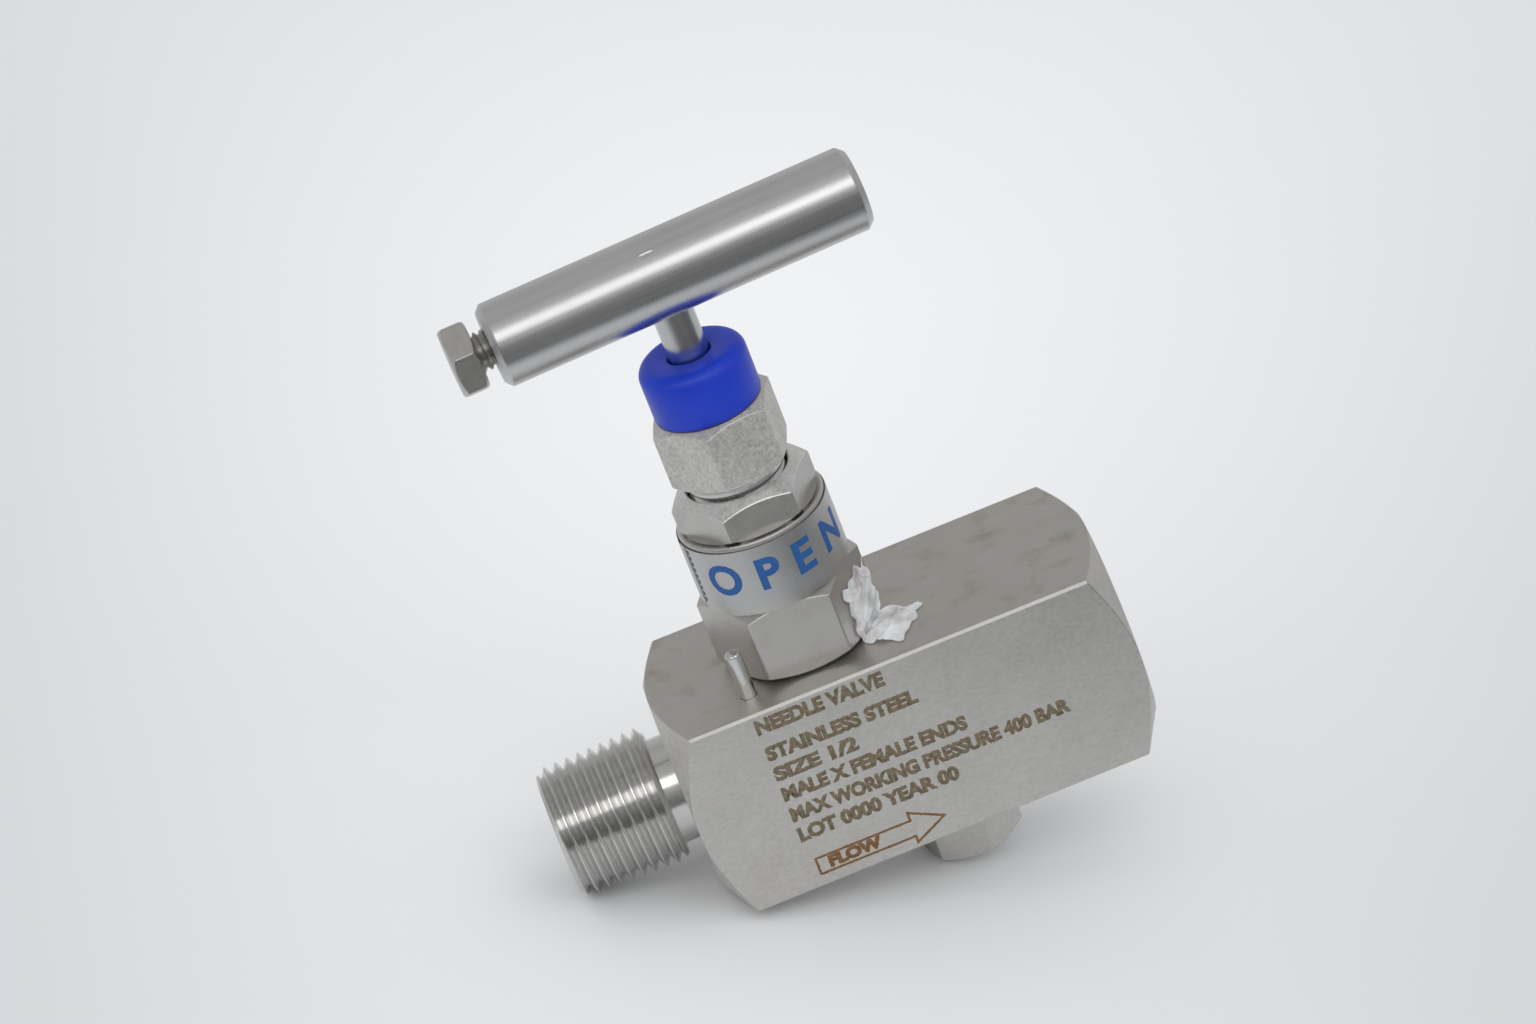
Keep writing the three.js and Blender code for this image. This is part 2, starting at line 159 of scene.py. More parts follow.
def add_world():
    """The room that the steel reflects, from the front's floor line up over the top to the back."""
    world = bpy.data.worlds.new("studio")
    bpy.context.scene.world = world
    world.use_nodes = True
    world.node_tree.nodes.clear()
    start = Signal(world.node_tree)
    toward = start.node("ShaderNodeTexCoord", {}, {}, "Generated")
    height = toward.part("Z")
    depth = toward.part("Y")
    turn = height.math("ARCTAN2", depth * -1) / (2 * math.pi) + 0.5
    stops = [(-180, 0.45), (-120, 0.3), (-60, 0.45), (-38, 0.25), (-20, 0.16), (6, 0.17), (17, 0.25)]
    stops += [(27, 0.38), (60, 0.46), (90, 0.39), (117, 0.43), (135, 0.37), (157, 0.46), (180, 0.5)]
    ramp = [((angle + 180) / 360, grey(tone)) for angle, tone in stops]
    room = turn.node("ShaderNodeValToRGB", {"stops": ramp}, {0: turn})
    glossy = start.node("ShaderNodeLightPath", {}, {}, "Is Glossy Ray")
    seen = glossy.between((0.90, 0.905, 0.915, 1), room)
    background = start.node("ShaderNodeBackground", {}, {"Color": seen, "Strength": 1.0})
    start.node("ShaderNodeOutputWorld", {}, {"Surface": background})


BOX_HEIGHT = math.radians(46)
BOX_WIDTH = 1.5
BOX_DEPTH = 0.34
BOX_POWER = 2.1
BOX_AWAY = 0.95


def add_soft_box():
    """A wide soft box over the front of the table, high enough to miss the camera's view."""
    box = bpy.data.lights.new("soft_box", "AREA")
    box.shape = "RECTANGLE"
    box.size = BOX_WIDTH
    box.size_y = BOX_DEPTH
    box.energy = BOX_POWER
    box.color = (1.0, 0.995, 0.985)
    lamp = bpy.data.objects.new("soft_box", box)
    out = Vector((0, -math.cos(BOX_HEIGHT), math.sin(BOX_HEIGHT)))
    lamp.location = AIM + out * BOX_AWAY
    lamp.rotation_mode = "QUATERNION"
    lamp.rotation_quaternion = out.to_track_quat("Z", "Y")
    bpy.context.scene.collection.objects.link(lamp)


REST_SLOPE = 0.3366  # the valve rests on its plug and its threaded tip
REST_X = 6.5 * MM  # where the plug's edge touches the table
FLAT_MIDDLE = -19 * MM
FLAT_HALF = 80 * MM
EASE = 60 * MM
PAINTED_GLOW_UP = 31 * MM  # centre of the painted pool of light on the table, above the aim
PAINTED_GLOW_WIDTH = 108 * MM
PAINTED_GLOW_HEIGHT = 130 * MM
NEAR_TABLE = (-0.32, 0.32, -0.24, 0.5)
FAR_TABLE = (-3, 3, -3, 3)


def table_height(x):
    """The table's height: a slope under the valve that eases off to level on both sides."""
    side = x - FLAT_MIDDLE
    beyond = np.maximum(np.abs(side) - FLAT_HALF, 0)
    reach = np.minimum(np.abs(side), FLAT_HALF) + EASE * (1 - np.exp(-beyond / EASE))
    return -REST_SLOPE * (FLAT_MIDDLE - REST_X + np.sign(side) * reach)


def add_table():
    """A pale table top with a painted pool of light: lighter round a spot above the aim, darker away from it.
    Its far part is left out of the steel's reflections.
    """
    material = bpy.data.materials.new("table_top")
    material.use_nodes = True
    start = Signal(material.node_tree)
    shader = material.node_tree.nodes["Principled BSDF"]
    place = start.place()
    mottle = place.texture(9.0, 3.0)
    # Painted light: the table's colour is lightest at a spot above the aim and darkens with distance from it,
    # standing in for the soft box's falloff.
    painted_glow_centre = AIM + UP * PAINTED_GLOW_UP
    offset = start.node("ShaderNodeVectorMath", {"operation": "SUBTRACT"}, {0: place, 1: painted_glow_centre})
    across = start.node("ShaderNodeVectorMath", {"operation": "DOT_PRODUCT"}, {0: offset, 1: RIGHT}, "Value")
    up = start.node("ShaderNodeVectorMath", {"operation": "DOT_PRODUCT"}, {0: offset, 1: UP}, "Value")
    across = (up * -4 + 1) * across
    away = ((across / PAINTED_GLOW_WIDTH).math("POWER", 2) + (up / PAINTED_GLOW_HEIGHT).math("POWER", 2)).math("POWER", 0.65)
    shade = (away * 0.55 + mottle * 0.06 - 0.03).clipped()
    tone = shade.between((0.925, 0.93, 0.94, 1), (0.67, 0.69, 0.71, 1))
    # Painted shade seen only in reflections: for glossy rays the near table turns black towards the front and
    # sides, standing in for the dark room beyond it.
    front = place.part("Y")
    aside = place.part("X").math("ABSOLUTE")
    reflected_shade_inputs = {
        "Value": aside * 0.45 - front, "From Min": 0.112, "From Max": 0.16, "To Min": 0.8, "To Max": 0.14,
    }
    reflected_shade = start.node("ShaderNodeMapRange", {}, reflected_shade_inputs)
    glossy = start.node("ShaderNodeLightPath", {}, {}, "Is Glossy Ray")
    tone = (glossy * (1 - reflected_shade)).between(tone, (0, 0, 0, 1))
    material.node_tree.links.new(tone.socket, shader.inputs["Base Color"])
    shader.inputs["Roughness"].default_value = 0.75
    shader.inputs["Specular IOR Level"].default_value = 0.2
    near, far = NEAR_TABLE, FAR_TABLE
    xs = np.concatenate([[far[0], -1.2], np.linspace(near[0], near[1], 129), [1.2, far[1]]])
    ys = np.array([far[2], near[2], 0, near[3], far[3]])
    for name, is_near in (("table_near", True), ("table_far", False)):
        points = [(x, y, float(table_height(x))) for y in ys for x in xs]
        faces = []
        for row in range(len(ys) - 1):
            for column in range(len(xs) - 1):
                inside = near[0] <= xs[column] < near[1] and near[2] <= ys[row] < near[3]
                if inside == is_near:
                    corner = row * len(xs) + column
                    faces.append((corner, corner + 1, corner + len(xs) + 1, corner + len(xs)))
        mesh = bpy.data.meshes.new(name)
        mesh.from_pydata(points, [], faces)
        mesh.shade_smooth()
        mesh.materials.append(material)
        table = bpy.data.objects.new(name, mesh)
        table.visible_glossy = is_near
        bpy.context.scene.collection.objects.link(table)


add_camera()
add_world()
add_soft_box()
add_table()


# ---------------- body
# The body is a length of square stainless bar. Both ends are turned to a 30 degree chamfer, the
# ports are bored and tapped, and the whole bar is finished to a fine satin grain.
body_low, body_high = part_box("body")
BODY_LEFT = -24.7 * MM
BODY_RIGHT = body_high.x
BAR_HALF = body_high.y - 0.03 * MM
FLOW_Z = (body_low.z + body_high.z) / 2
END_FACE_R = 15.9 * MM
NECK_R = 8.25 * MM
NECK_LEFT = BODY_LEFT - 2.7 * MM
BORE_R = 4.75 * MM
VENT_X = 13.3 * MM
CHAMFER_SLOPE = math.tan(math.radians(30))
SHARP = math.radians(14)
TAPER = 1 / 32  # radius lost per length of a pipe thread
PIPE_PITCH = 25.4 / 14 * MM


def link(name, mesh):
    thing = bpy.data.objects.new(name, mesh)
    bpy.context.scene.collection.objects.link(thing)
    return thing


def sheet_of(name, points, faces):
    mesh = bpy.data.meshes.new(name)
    mesh.from_pydata(points, [], faces)
    return mesh


def tidy(mesh, join=1e-7):
    """Joins doubled points, turns the faces outward and marks the sharp edges."""
    work = bmesh.new()
    work.from_mesh(mesh)
    bmesh.ops.remove_doubles(work, verts=work.verts, dist=join)
    bmesh.ops.dissolve_degenerate(work, edges=work.edges, dist=join)
    bmesh.ops.recalc_face_normals(work, faces=work.faces)
    work.to_mesh(mesh)
    work.free()
    mesh.shade_smooth()
    mesh.set_sharp_from_angle(angle=SHARP)


def ringed(name, angles, rings, hollow=False, place=Matrix.Identity(4)):
    """Skins rings about +Z. A ring is (radius, height), each a number or one value per angle."""
    count = len(angles)
    points = []
    for radius, height in rings:
        radius = np.broadcast_to(radius, count)
        height = np.broadcast_to(height, count)
        points += list(zip(radius * np.cos(angles), radius * np.sin(angles), height))
    faces = []
    for low in range(len(rings) if hollow else len(rings) - 1):
        a, b = low * count, (low + 1) % len(rings) * count
        faces += [(a + i, a + (i + 1) % count, b + (i + 1) % count, b + i) for i in range(count)]
    if not hollow:
        faces.append(tuple(range(count))[::-1])
        faces.append(tuple(range(len(points) - count, len(points))))
    mesh = sheet_of(name, [tuple(map(float, p)) for p in points], faces)
    mesh.transform(place)
    tidy(mesh)
    return link(name, mesh)


def circle(count=96):
    return np.arange(count) * 2 * math.pi / count


def polygon(sides, turn, steps=12, land=0.012):
    """Angles round a bar of flats with a corner at turn, and its radius at each per half width."""
    half = math.pi / sides
    one_side = np.concatenate([[-half], np.linspace(-half + land, half - land, steps)])
    angles = np.concatenate([one_side + half + turn + 2 * half * side for side in range(sides)])
    reach = np.minimum(1 / np.cos(one_side), 1 / math.cos(half - land))
    return angles, np.tile(reach, sides)


def chamfered(radius, low, high, low_face, high_face, edge=0.11 * MM):
    """Rings of a bar whose corners are turned off at 30 degrees, its long edges just broken."""
    low_edge = np.minimum(edge, (radius - low_face) * 0.5)
    high_edge = np.minimum(edge, (radius - high_face) * 0.5)
    low_corner = low + (radius - low_face) * CHAMFER_SLOPE
    high_corner = high - (radius - high_face) * CHAMFER_SLOPE
    return [
        (low_face, low),
        (radius - low_edge, low_corner - low_edge * CHAMFER_SLOPE),
        (radius, low_corner + low_edge),
        (radius, high_corner - high_edge),
        (radius - high_edge, high_corner + high_edge * CHAMFER_SLOPE),
        (high_face, high),
    ]


def finished(thing, modifiers):
    """Applies modifiers, given as (type, settings), and leaves a plain mesh."""
    for kind, settings in modifiers:
        made = thing.modifiers.new(kind.lower(), kind)
        for name, value in settings.items():
            setattr(made, name, value)
    graph = bpy.context.evaluated_depsgraph_get()
    mesh = bpy.data.meshes.new_from_object(thing.evaluated_get(graph))
    thing.modifiers.clear()
    thing.data = mesh
    return thing


def cut(thing, tools, operation="DIFFERENCE"):
    """Cuts tools from a thing, or joins them to it, and removes them."""
    for tool in tools:
        settings = {"operation": operation, "solver": "EXACT", "object": tool, "material_mode": "TRANSFER"}
        finished(thing, [("BOOLEAN", settings)])
        bpy.data.objects.remove(tool)
    tidy(thing.data)
    return thing


def new_tree(name, lengths, counts, takes_mesh=False):
    """A Geometry Nodes tree, a signal to start its nodes from, and a signal for each input."""
    tree = bpy.data.node_groups.new(name, "GeometryNodeTree")
    face = tree.interface
    if takes_mesh:
        face.new_socket("Geometry", in_out="INPUT", socket_type="NodeSocketGeometry")
    for values, kind in ((lengths, "NodeSocketFloat"), (counts, "NodeSocketInt")):
        for key, value in values.items():
            face.new_socket(key, in_out="INPUT", socket_type=kind).default_value = value
    face.new_socket("Material", in_out="INPUT", socket_type="NodeSocketMaterial")
    face.new_socket("Geometry", in_out="OUTPUT", socket_type="NodeSocketGeometry")
    given = tree.nodes.new("NodeGroupInput")
    return Signal(tree), {socket.name: Signal(tree, socket) for socket in given.outputs if socket.name}


def hand_out(shape, material):
    """Ends a tree: makes its instances real, sets the material and returns the tree."""
    real = shape.node("GeometryNodeRealizeInstances", {}, {"Geometry": shape})
    painted = shape.node("GeometryNodeSetMaterial", {}, {"Geometry": real, "Material": material})
    shape.tree.links.new(painted.socket, shape.tree.nodes.new("NodeGroupOutput").inputs["Geometry"])
    return shape.tree


def thread_tree():
    """Geometry Nodes: a closed screw thread about +Z, tapered, chamfered at both ends, with a bore.

    A grid is wrapped round the axis, its rows leaning so that each one follows the helix. The
    radius falls by a V once in each pitch. Three more rows close the ends and line the bore."""
    sizes = {"Length": 0.016, "Pitch": 0.0018, "Radius": 0.0106, "Taper": 0.0, "Depth": 0.0014}
    sizes |= {"Chamfer": 0.001, "End Chamfer": 0.001, "Bore": 0.0}
    start, size = new_tree("screw_thread", sizes, {"Around": 96, "Steps": 16})
    last = ((size["Length"] / size["Pitch"] + 1) * size["Steps"]).math("CEIL") + 3
    grid_inputs = {"Size X": 1.0, "Size Y": 1.0, "Vertices X": size["Around"] + 1, "Vertices Y": last + 1}
    grid = start.node("GeometryNodeMeshGrid", {}, grid_inputs, "Mesh")
    place = start.node("GeometryNodeInputPosition", {}, {})
    across = place.part("X")
    upward = place.part("Y")
    row = ((upward + 0.5) * last).math("ROUND")
    wrapped = row > (last - 0.5)
    in_bore = (1 - (row > 0.5)) + (row > (last - 1.5))
    lean = size["Pitch"] * (across - 0.5)
    climb = (row - 1) * size["Pitch"] / size["Steps"] + lean
    height = climb.math("MAXIMUM", 0).math("MINIMUM", size["Length"])
    height = height * (row > 0.5)
    turns = height / size["Pitch"] - across
    ramp = (turns.math("FRACT") - 0.5).math("ABSOLUTE") * 2
    groove = start.node("ShaderNodeMapRange", {}, {"Value": ramp, "From Min": 0.1, "From Max": 0.93})
    crest = size["Radius"] - height * size["Taper"]
    wall = crest - groove * size["Depth"]
    wall = wall.math("MINIMUM", size["Radius"] - size["Chamfer"] + height)
    wall = wall.math("MINIMUM", crest - size["End Chamfer"] + (size["Length"] - height))
    radius = wall * (1 - in_bore) + size["Bore"] * in_bore
    height = height.math("MAXIMUM", size["Length"] * (row > (last - 1.5))) * (1 - wrapped)
    angle = across * (2 * math.pi)
    spot_inputs = {"X": radius * angle.math("COSINE"), "Y": radius * angle.math("SINE"), "Z": height}
    spot = start.node("ShaderNodeCombineXYZ", {}, spot_inputs)
    shaped = start.node("GeometryNodeSetPosition", {}, {"Geometry": grid, "Position": spot})
    no_bore = wrapped * (1 - (size["Bore"] > 1e-6))
    opened = start.node("GeometryNodeDeleteGeometry", {}, {"Geometry": shaped, "Selection": no_bore})
    joined = start.node("GeometryNodeMergeByDistance", {}, {"Geometry": opened, "Distance": 1e-7})
    return hand_out(joined, size["Material"])


def grown(thing, tree, values):
    """Runs a Geometry Nodes tree with named inputs on a thing and keeps the plain mesh it makes."""
    nodes = thing.modifiers.new("nodes", "NODES")
    nodes.node_group = tree
    keys = {item.name: item.identifier for item in tree.interface.items_tree if item.in_out == "INPUT"}
    for key, value in values.items():
        nodes[keys[key]] = value
    return finished(thing, [])


screw_thread = thread_tree()


def thread(name, place, finish, **sizes):
    """A screw thread made along +Z and put in place."""
    values = {key.replace("_", " ").title(): value for key, value in sizes.items()}
    made = link(name, bpy.data.meshes.new(name))
    grown(made, screw_thread, {**values, "Material": finish})
    made.data.transform(place)
    tidy(made.data)
    return made


def painted(name, **constants):
    """A new material, its shader, and a signal to start its nodes from."""
    material = bpy.data.materials.new(name)
    material.use_nodes = True
    shader = material.node_tree.nodes["Principled BSDF"]
    for socket, value in constants.items():
        shader.inputs[socket.replace("_", " ")].default_value = value
    return material, shader, Signal(material.node_tree)


def feed(shader, signals):
    for socket, value in signals.items():
        value.tree.links.new(value.socket, shader.inputs[socket])


def steel(
    name, light, dark, roughness, grain, stretch=(1, 1, 1), turn=0.0, depth=4e-6, stain=0.3, dust=0.4,
    metallic=1.0,
):
    """Stainless steel: cloudy tone, a grain that is drawn out along one axis, faint stains."""
    material, shader, start = painted(name, Metallic=metallic)
    place = start.place()
    turning = {"Vector": place, "Rotation": (0, 0, turn)}
    turned = start.node("ShaderNodeMapping", {}, turning)
    drawn = start.node("ShaderNodeMapping", {}, {"Vector": turned, "Scale": stretch})
    fine = drawn.texture(grain, 5.0)
    speck_inputs = {"Vector": place, "Scale": grain * 0.5, "Detail": 3.0, "Roughness": 0.65}
    speck = start.node("ShaderNodeTexNoise", {}, speck_inputs)
    cloud = place.texture(70.0, 5.0)
    spots = place.texture(210.0, 4.0)
    tone = (cloud * 0.6 + fine * 0.8 + speck * dust - (0.2 + dust / 2)).clipped().between(dark, light)
    stained = start.node("ShaderNodeMapRange", {}, {"Value": spots, "From Min": 0.54, "From Max": 0.8})
    brown = tuple(a * b for a, b in zip(dark, (0.84, 0.77, 0.68, 1)))
    tone = (stained * stain).between(tone, brown)
    rough = (fine * 0.18 + cloud * 0.12 + speck * dust * 0.25 + (roughness - 0.15 - dust * 0.125)).clipped()
    bump_inputs = {"Height": fine * 0.6 + speck * dust * 1.5, "Distance": depth, "Strength": 1.0}
    normal = start.node("ShaderNodeBump", {}, bump_inputs)
    feed(shader, {"Base Color": tone, "Roughness": rough, "Normal": normal})
    return material


satin_steel = steel(
    "satin_bar", (0.84, 0.822, 0.79, 1), (0.56, 0.545, 0.515, 1), 0.46, 2300, (0.5, 1, 1),
    depth=1.4e-5, stain=0.1, dust=0.7,
)
brushed_top = steel(
    "brushed_top", (0.70, 0.68, 0.645, 1), (0.54, 0.515, 0.475, 1), 0.42, 3600, (0.05, 1, 1), stain=0.8
)
bright_steel = steel(
    "bright_turned", (0.80, 0.795, 0.78, 1), (0.68, 0.675, 0.66, 1), 0.16, 2000,
    depth=8e-7, stain=0.2, dust=0.2,
)

ALONG_X = Matrix.Translation((0, 0, FLOW_Z)) @ Matrix.Rotation(math.pi / 2, 4, "Y")
AGAINST_X = Matrix.Rotation(-math.pi / 2, 4, "Y")


def body_bar():
    angles, reach = polygon(4, -math.pi / 4, steps=40)
    rings = chamfered(reach * BAR_HALF, BODY_LEFT, BODY_RIGHT, END_FACE_R, END_FACE_R)
    neck_rings = [(NECK_R, NECK_LEFT), (NECK_R, BODY_LEFT + 1 * MM)]
    bar = ringed("body_bar", angles, rings, place=ALONG_X)
    bar.data.materials.append(satin_steel)
    neck = ringed("neck", circle(), neck_rings, place=ALONG_X)
    neck.data.materials.append(bright_steel)
    return cut(bar, [neck], "UNION")


def millimetres(pairs):
    return [(radius * MM, height * MM) for radius, height in pairs]


def drilled(name, start, end, radius):
    """A drilled passage between two points given in millimetres as (x, z)."""
    low, high = Vector((start[0], 0, start[1])) * MM, Vector((end[0], 0, end[1])) * MM
    turn = (high - low).to_track_quat("Z", "Y").to_matrix().to_4x4()
    rings = [(radius, 0), (radius, (high - low).length)]
    return ringed(name, circle(32), rings, place=Matrix.Translation(low) @ turn)


def port_tools():
    """Every cutter that bores the body: both ports, the stem's port, the vent and two passages."""
    into_port = Matrix.Translation((BODY_RIGHT + 0.5 * MM, 0, FLOW_Z)) @ AGAINST_X
    tap = thread(
        "tap", into_port, bright_steel, length=16.5 * MM, pitch=PIPE_PITCH, radius=10.75 * MM,
        taper=TAPER, depth=1.35 * MM, chamfer=0.0, end_chamfer=1.2 * MM, bore=0.0, around=96, steps=12,
    )
    mouth_rings = [(9.6 * MM, BODY_RIGHT - 1.3 * MM), (11.2 * MM, BODY_RIGHT + 0.3 * MM)]
    drill_rings = [(0.01 * MM, BODY_RIGHT - 25.4 * MM), (9.1 * MM, BODY_RIGHT - 20 * MM)]
    drill_rings.append((9.1 * MM, BODY_RIGHT + 1 * MM))
    bore_rings = [(BORE_R, NECK_LEFT - 1 * MM), (BORE_R, -16 * MM), (0.01 * MM, -13.2 * MM)]
    seat = [(2.25, 17.7), (2.25, 25), (3.2, 26.65), (5.2, 26.65), (5.2, 32.2), (10.1, 32.2), (10.1, 44.2)]
    vent = [(6.75, 10), (6.45, 21.5), (2, 21.51), (2, 28)]
    pin_low, pin_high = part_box("bonnet_lock_pin")
    pin_axis = (pin_low + pin_high) / 2
    at_pin = Matrix.Translation((pin_axis.x, pin_axis.y, 0))
    tools = [
        tap,
        ringed("mouth", circle(), mouth_rings, place=ALONG_X),
        ringed("drill", circle(), drill_rings, place=ALONG_X),
        ringed("bore", circle(64), bore_rings, place=ALONG_X),
        ringed("stem_port", circle(), millimetres(seat)),
        ringed("vent", circle(48), millimetres(vent), place=Matrix.Translation((VENT_X, 0, 0))),
        ringed("pin_hole", circle(32), millimetres([(1.32, 37.9), (1.32, 44.2)]), place=at_pin),
        drilled("inlet", (-17, 27), (1, 20.1), 2.5 * MM),
        drilled("outlet", (25.2, 27), (3, 29.4), 2.5 * MM),
    ]
    for tool in tools[1:]:
        tool.data.materials.append(bright_steel)
    return tools


def brush_top(bar):
    """The top face is brushed along the bar after the bonnet's port is bored."""
    bar.data.materials.append(brushed_top)
    for face in bar.data.polygons:
        if face.normal.z > 0.99 and face.center.z > body_high.z - 0.1 * MM:
            face.material_index = len(bar.data.materials) - 1


def settle(piece, body, slot, *nodes):
    """A piece rides on its body and hides the CAD nodes it stands for. The slot is not used."""
    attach(piece, body)
    if nodes:
        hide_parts(*nodes)


valve_bar = cut(body_bar(), port_tools())
brush_top(valve_bar)
settle(valve_bar, "valve_body", "body_steel", "body")


# ---------------- male thread
# The inlet end carries a half inch taper pipe thread, single-point turned in the same bar, with a
# bright relief neck behind it and a chamfered, faced tip.
male_thread = thread(
    "male_thread", Matrix.Translation((NECK_LEFT, 0, FLOW_Z)) @ AGAINST_X, bright_steel,
    length=NECK_LEFT - body_low.x, pitch=PIPE_PITCH, radius=10.65 * MM, taper=TAPER, depth=1.3 * MM,
    chamfer=0.9 * MM, end_chamfer=1.0 * MM, bore=BORE_R, around=128, steps=18,
)
settle(male_thread, "valve_body", "body_steel")


# ---------------- bonnet and gasket
# The bonnet screws into the body over a flat steel gasket. It is turned from hexagon bar: a
# spigot, the hexagon, a round land for the label, and bores for the stem, packing and gland.
nut_steel = steel("nut_steel", (0.73, 0.715, 0.69, 1), (0.54, 0.525, 0.50, 1), 0.34, 2600, depth=5e-6)
plain_steel = steel("plain_steel", (0.70, 0.69, 0.67, 1), (0.58, 0.57, 0.55, 1), 0.38, 3000)


def eased(profile, cut_back=0.12 * MM, closed=True):
    """A profile with every corner cut back a little, as a turned edge is."""
    points = [Vector(point) for point in profile]
    result = []
    for index, point in enumerate(points):
        if not closed and index in (0, len(points) - 1):
            result.append(point)
            continue
        for other in (points[index - 1], points[(index + 1) % len(points)]):
            arm = other - point
            result.append(point + arm.normalized() * min(cut_back, arm.length * 0.4))
    return [(point.x, point.y) for point in result]


def turned(name, profile, finish, count=96, place=Matrix.Identity(4), ease=0.12, hollow=True):
    """A turned piece from a profile in millimetres that runs round its half section."""
    rings = eased(millimetres(profile), ease * MM, hollow)
    made = ringed(name, circle(count), rings, hollow, place)
    made.data.materials.append(finish)
    return made


def bonnet():
    """Spigot, hexagon and land outside, then back down the bores inside."""
    angles, reach = polygon(6, math.radians(-2), steps=16)
    radius = reach * 11 * MM
    land = 11.3 * MM
    foot, shoulder = 43.3 * MM, 55.1 * MM
    low_rings = chamfered(radius, foot, shoulder, 10.8 * MM, 10.8 * MM)[:3]
    over_land = np.maximum(radius - land, 0)
    edge = np.minimum(0.11 * MM, over_land * 0.5)
    corner = shoulder - over_land * CHAMFER_SLOPE
    high_rings = [(radius, corner - edge), (radius - edge, corner + edge * CHAMFER_SLOPE)]
    high_rings.append((np.minimum(radius, land), shoulder))
    outside = millimetres([(9.6, 33.8), (10, 34.2), (10, 42.6), (9.7, 43.3)]) + low_rings + high_rings
    top = millimetres([(11.3, 55.15), (11.3, 66.45), (11.2, 66.7), (11.0, 66.9), (8.15, 66.9), (7.8, 66.55)])
    inside = millimetres([(7.8, 62.2), (5.6, 62.2), (5.6, 56.5), (3.35, 56.5), (3.35, 54.7), (4.8, 54.7)])
    made = ringed("bonnet", angles, outside + top + inside + millimetres([(4.8, 33.8)]), hollow=True)
    made.data.materials.append(nut_steel)
    return made


settle(bonnet(), "valve_body", "nut_steel", "bonnet")
gasket = turned("bonnet_gasket", [(5.5, 32.5), (10, 32.5), (10, 33.5), (5.5, 33.5)], plain_steel)
settle(gasket, "valve_body", "nut_steel", "bonnet_gasket")


# ---------------- lock pin
# A ground steel pin is pressed into the body beside the bonnet's hexagon, so that the bonnet
# can't be unscrewed by hand. Its top end is chamfered and lightly domed.
pin_low, pin_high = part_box("bonnet_lock_pin")
pin_place = Matrix.Translation(((pin_low.x + pin_high.x) / 2, (pin_low.y + pin_high.y) / 2, 0))
pin_profile = [(0.9, 38), (1.25, 38.4), (1.25, 50.3), (1.05, 50.62), (0.6, 50.76), (0.2, 50.8)]
lock_pin = turned("bonnet_lock_pin", pin_profile, bright_steel, 48, pin_place, 0.05, False)
settle(lock_pin, "valve_body", "nut_steel", "bonnet_lock_pin")


# ---------------- packing
# The stem is sealed by three moulded PTFE rings between two steel washers. The gland nut squeezes
# them through a turned steel follower.
def moulded_white(name):
    material, shader, start = painted(name)
    place = start.place()
    cloud = place.texture(500.0, 3.0)
    tone = cloud.between((0.80, 0.78, 0.73, 1), (0.90, 0.89, 0.86, 1))
    normal = cloud.bump(1e-5)
    feed(shader, {"Base Color": tone, "Roughness": cloud * 0.3 + 0.35, "Normal": normal})
    return material


ptfe = moulded_white("white_ptfe")


def packing_piece(node, finish, slot, dished=0.0):
    """A ring of the packing stack. The sealing rings are dished so that they nest."""
    low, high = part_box(node)
    outer = (high.x - low.x) / 2 / MM
    inner = 3.35
    middle = (inner + outer) / 2
    foot, top = low.z / MM, high.z / MM
    profile = [(inner, foot), (middle, foot + dished), (outer, foot)]
    profile += [(outer, top - dished), (middle, top), (inner, top - dished)]
    made = turned(node, profile, finish, 72, ease=0.06)
    settle(made, "valve_body", slot, node)


for name in ("packing_washer_lower", "packing_washer_upper", "gland_follower"):
    packing_piece(name, plain_steel, "nut_steel")
for name in ("packing_ring_1", "packing_ring_2", "packing_ring_3"):
    packing_piece(name, ptfe, "packing", 0.3)


# ---------------- gland nut and lock nut
# The gland nut screws into the top of the bonnet and is set with a thin lock nut. Both are cut
# from hexagon bar with their corners turned off, and the gland nut's hub carries the dust cap.
def hexagon(flats, low, high, turn, low_face, high_face, steps=12):
    """Angles and rings of a hexagon, sizes in millimetres, its corners turned off at both ends."""
    angles, reach = polygon(6, math.radians(turn), steps)
    rings = chamfered(reach * flats / 2 * MM, low * MM, high * MM, low_face * MM, high_face * MM)
    return angles, rings


blasted_steel = steel(
    "blasted_nut", (0.78, 0.77, 0.73, 1), (0.40, 0.39, 0.365, 1), 0.48, 2600,
    depth=1.6e-5, dust=1.2, metallic=0.6,
)


# A turned chamfer's polish. Its colour is lifted nearly to white as a painted highlight.
chamfer_steel_painted_sheen = steel(
    "turned_chamfer_painted_sheen", (0.93, 0.925, 0.91, 1), (0.55, 0.545, 0.53, 1), 0.24, 1500, depth=1.5e-5, stain=0.2,
    metallic=0.8,
)


def polish(thing, low, high):
    """Gives the sloped faces between two heights, in millimetres, the bright finish of a turned chamfer:
    partly real polish, partly a painted highlight in a colour lighter than the steel's own.
    """
    thing.data.materials.append(chamfer_steel_painted_sheen)
    for face in thing.data.polygons:
        hub = face.center.xy.length < 7.6 * MM
        if (hub or abs(face.normal.z) > 0.4) and low * MM < face.center.z < high * MM:
            face.material_index = 1


